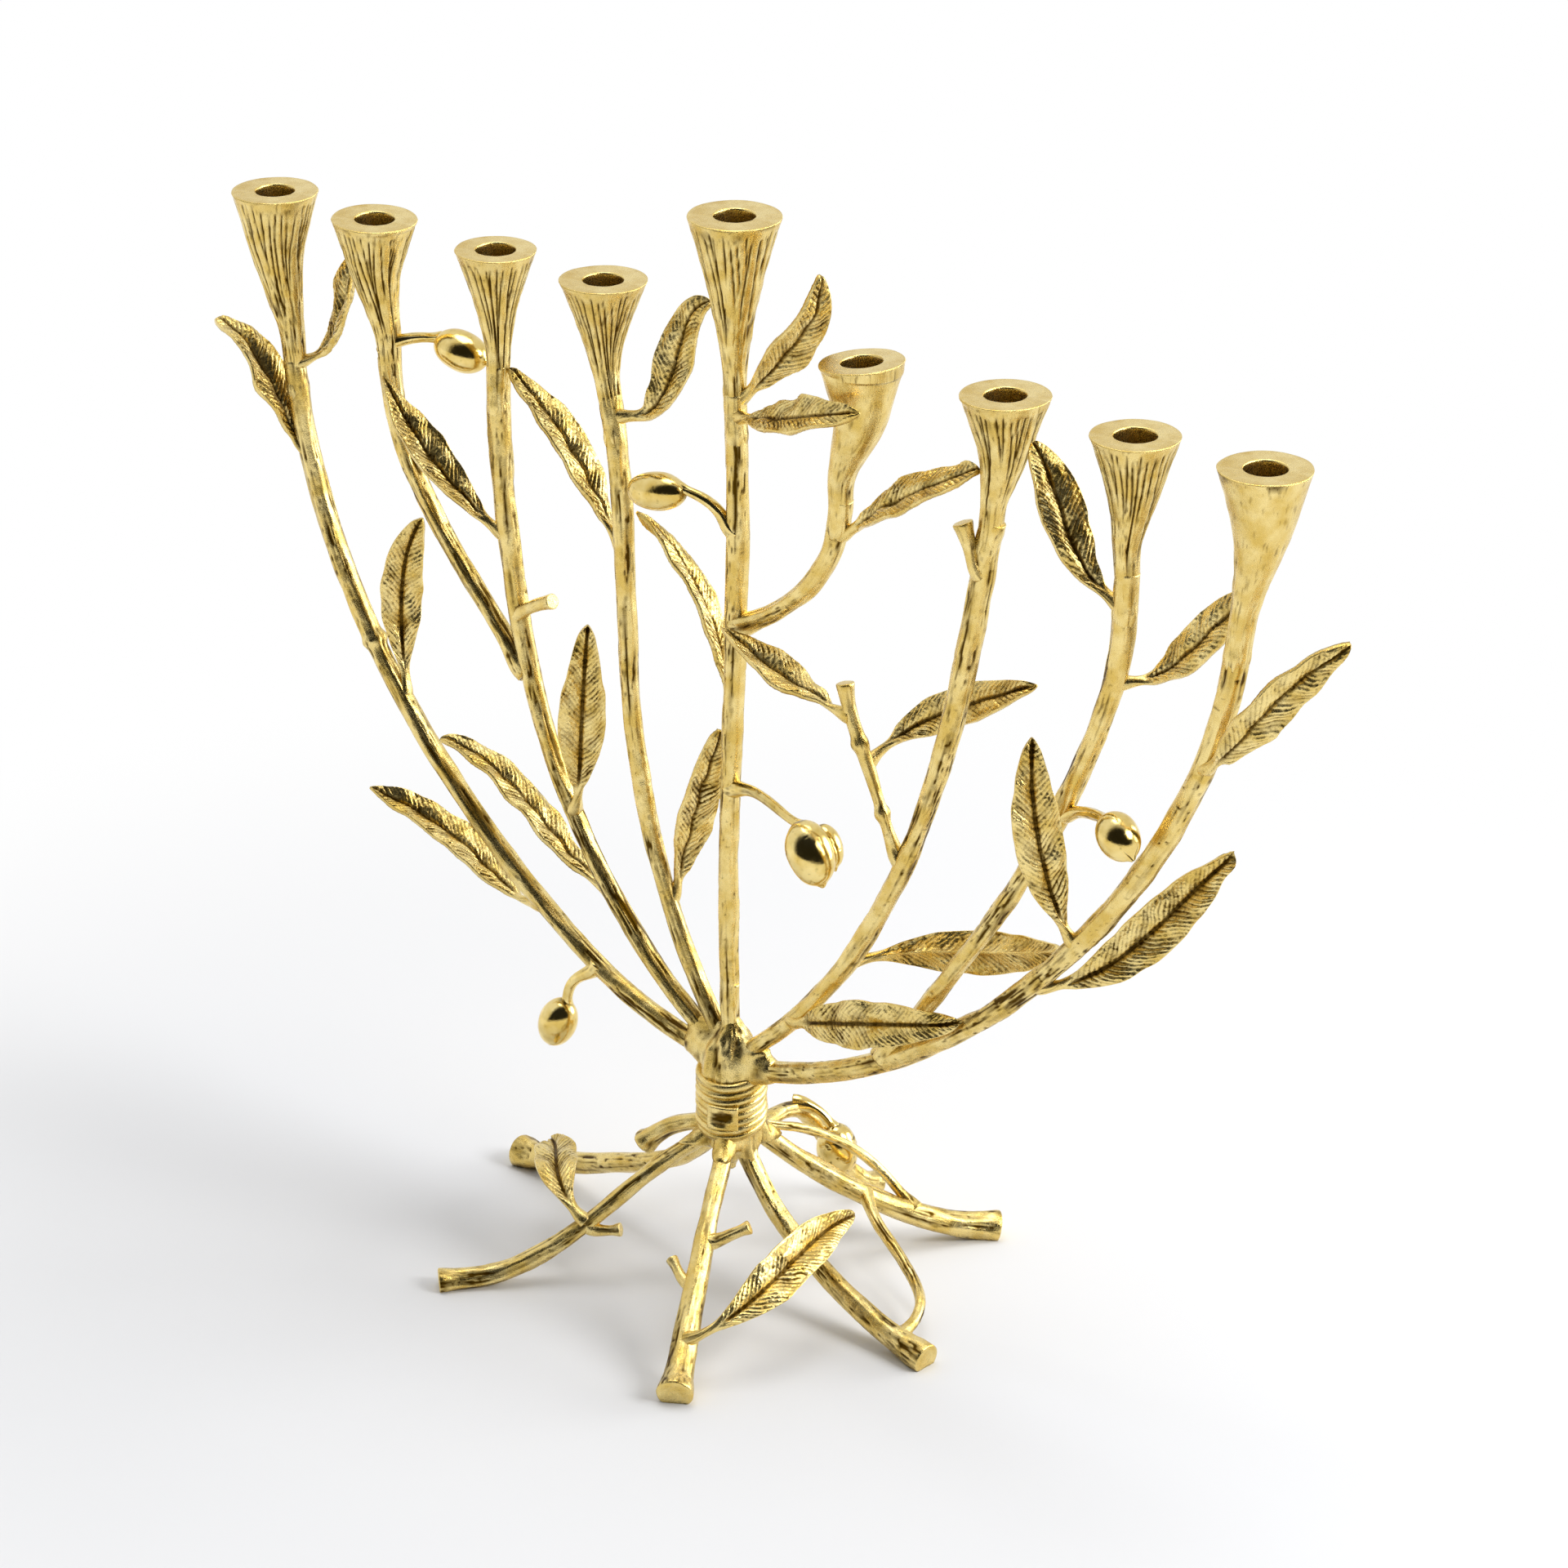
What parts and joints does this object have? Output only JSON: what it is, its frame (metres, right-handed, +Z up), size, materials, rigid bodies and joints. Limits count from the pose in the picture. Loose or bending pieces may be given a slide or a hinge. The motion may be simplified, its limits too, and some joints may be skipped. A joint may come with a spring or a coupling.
{
  "type": "menorah",
  "caption": "Cast brass candelabrum shaped like an olive tree: bound trunk on splayed roots, curved branches with leaves and olives, and a flared candle cup on each branch.",
  "frame": {"origin": "on the ground, midway along the row of cups, under the trunk", "axes": "+X along the row of candle cups, +Y towards the back, +Z up"},
  "size_m": [0.3575, 0.1269, 0.297],
  "materials": {
    "bark": "cast bark texture, antique gold, satin with darker recesses",
    "leaf": "cast with veins, antique gold, satin with bright edges",
    "olive": "smooth polished gold with casting pits",
    "cup": "grooved satin gold with a polished rim",
    "wire": "wound wire, antique gold, dark between the turns"
  },
  "bodies": {
    "root": {"binding": "wire", "branch_1": "bark", "branch_1_leaf_a": "leaf", "branch_1_leaf_b": "leaf", "branch_1_leaf_c": "leaf", "branch_1_leaf_d": "leaf", "branch_1_olive": "olive", "branch_2": "bark", "branch_2_olive": "olive", "branch_3": "bark", "branch_3_leaf_a": "leaf", "branch_3_leaf_b": "leaf", "branch_3_leaf_c": "leaf", "branch_4": "bark", "branch_4_leaf_a": "leaf", "branch_4_leaf_b": "leaf", "branch_4_leaf_c": "leaf", "branch_5": "bark", "branch_5_leaf_a": "leaf", "branch_5_leaf_b": "leaf", "branch_5_leaf_c": "leaf", "branch_5_olive_high": "olive", "branch_5_olive_pair": "olive", "branch_6": "bark", "branch_6_leaf_a": "leaf", "branch_7": "bark", "branch_7_leaf_a": "leaf", "branch_7_leaf_b": "leaf", "branch_8": "bark", "branch_8_leaf_a": "leaf", "branch_8_leaf_b": "leaf", "branch_8_olive": "olive", "branch_9": "bark", "branch_9_leaf_a": "leaf", "branch_9_leaf_b": "leaf", "branch_9_leaf_c": "leaf", "cup_1": "cup", "cup_2": "cup", "cup_3": "cup", "cup_4": "cup", "cup_5": "cup", "cup_6": "cup", "cup_7": "cup", "cup_8": "cup", "cup_9": "cup", "pruned_stubs": "bark", "root_1": "bark", "root_1_leaf": "leaf", "root_2": "bark", "root_2_leaf": "leaf", "root_3": "bark", "root_4": "bark", "root_5": "bark", "root_6": "bark", "root_6_olive": "olive", "root_braces": "bark", "side_twig": "bark", "side_twig_leaf_a": "leaf", "side_twig_leaf_b": "leaf", "trunk": "bark"}
  },
  "joints": []
}
